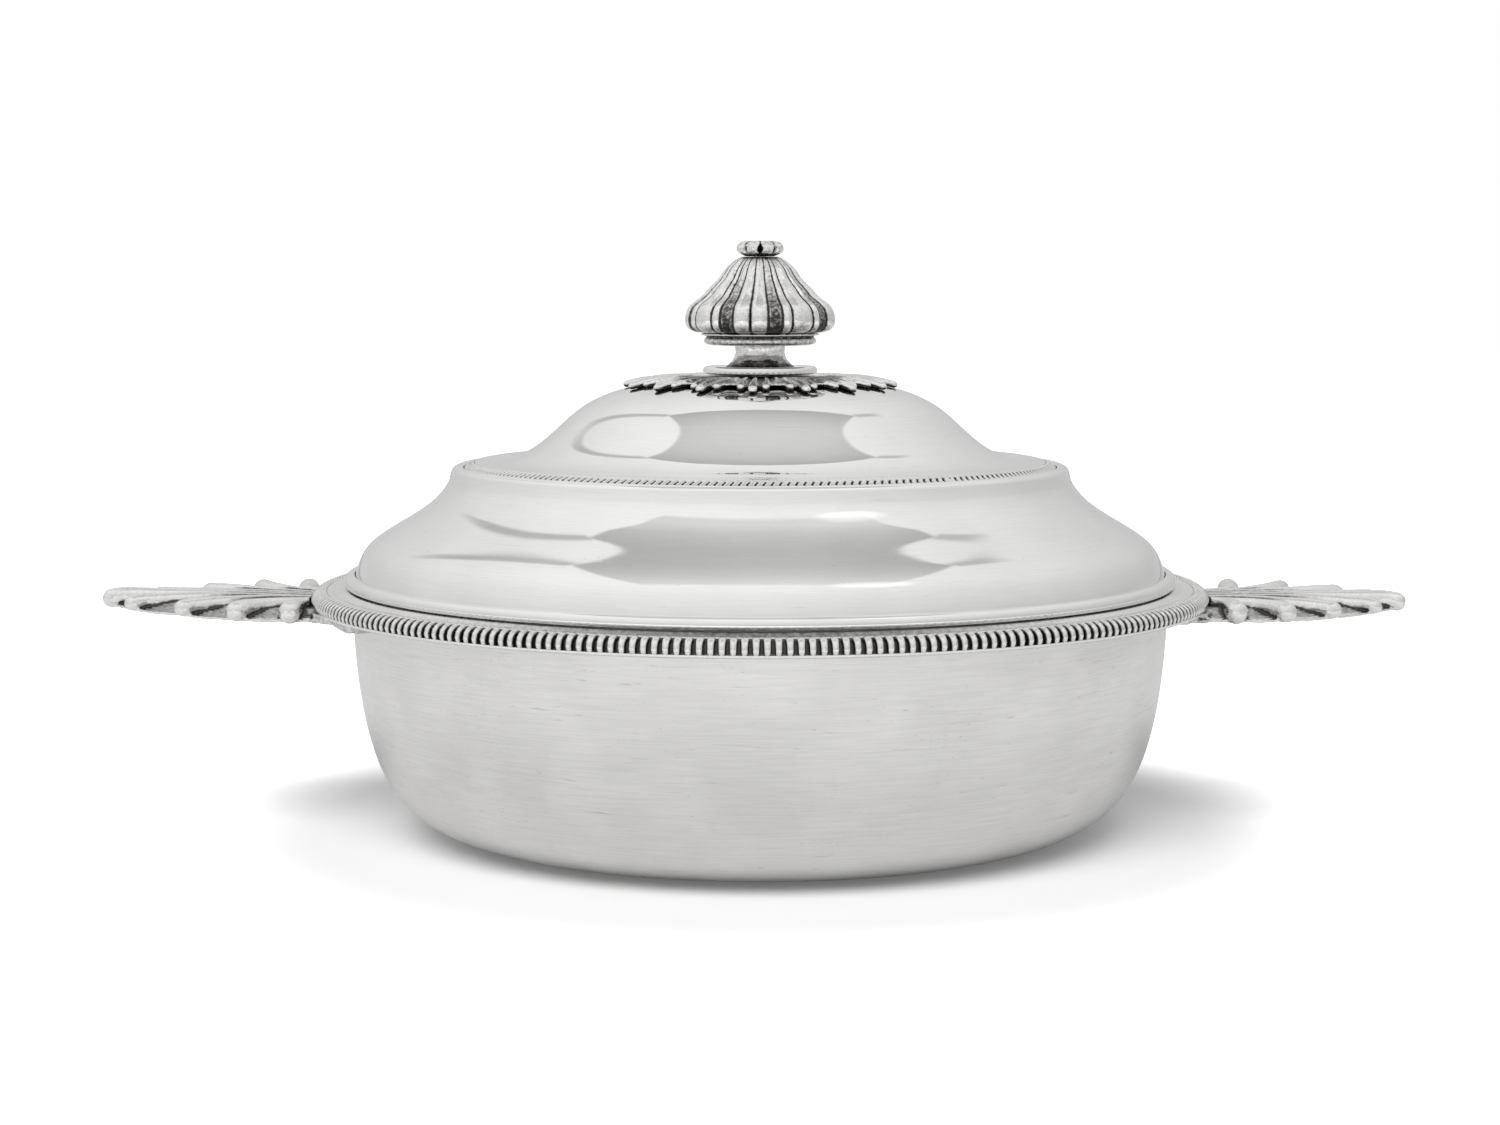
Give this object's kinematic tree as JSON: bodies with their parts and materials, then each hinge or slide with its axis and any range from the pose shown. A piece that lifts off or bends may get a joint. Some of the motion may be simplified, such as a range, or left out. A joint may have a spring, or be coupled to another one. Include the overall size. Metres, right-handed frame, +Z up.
{
  "type": "covered bowl",
  "caption": "Low round silver bowl with flat palmette side handles, a gadrooned rim and a stepped domed lid with a fluted finial, which turns in its seat and lifts off.",
  "frame": {"origin": "centre of the bowl's flat underside, on the table", "axes": "+Z up along the bowl's axis, +X along the handles, -Y the side towards the picture's camera"},
  "size_m": [0.303, 0.205, 0.1349],
  "materials": {
    "satin_silver": "satin silver with fine scratches and small dark pits",
    "polished_silver": "mirror polished silver with fine wear scratches",
    "cast_silver": "cast and chased silver, dark in its recesses",
    "milled_silver": "milled silver strip",
    "patinated_silver": "mottled oxidised silver with bright high points",
    "fixing_metal": "plain turned metal"
  },
  "bodies": {
    "bowl": {"bowl_body": "satin_silver", "rim_gadroon": "cast_silver", "right_handle": "cast_silver", "left_handle": "cast_silver"},
    "cover_seat": {"cover_bezel": "satin_silver"},
    "cover": {"cover_shell": "polished_silver", "cover_edge_band": "polished_silver", "milled_band": "milled_silver", "rosette": "patinated_silver", "finial_collar": "polished_silver", "finial_stem": "patinated_silver", "finial_saucer": "patinated_silver", "finial_bud": "patinated_silver", "finial_cap": "patinated_silver", "finial_stud": "fixing_metal", "finial_washer": "satin_silver", "finial_nut": "fixing_metal"}
  },
  "joints": [
    {"name": "cover_lift", "type": "slide", "parent": "bowl", "child": "cover_seat", "axis": [0, 0, 1], "range_m": [0, 0.12]},
    {"name": "cover_turn", "type": "hinge", "parent": "cover_seat", "child": "cover", "pos_m": [0, 0, 0.057], "axis": [0, 0, 1], "continuous": true}
  ]
}
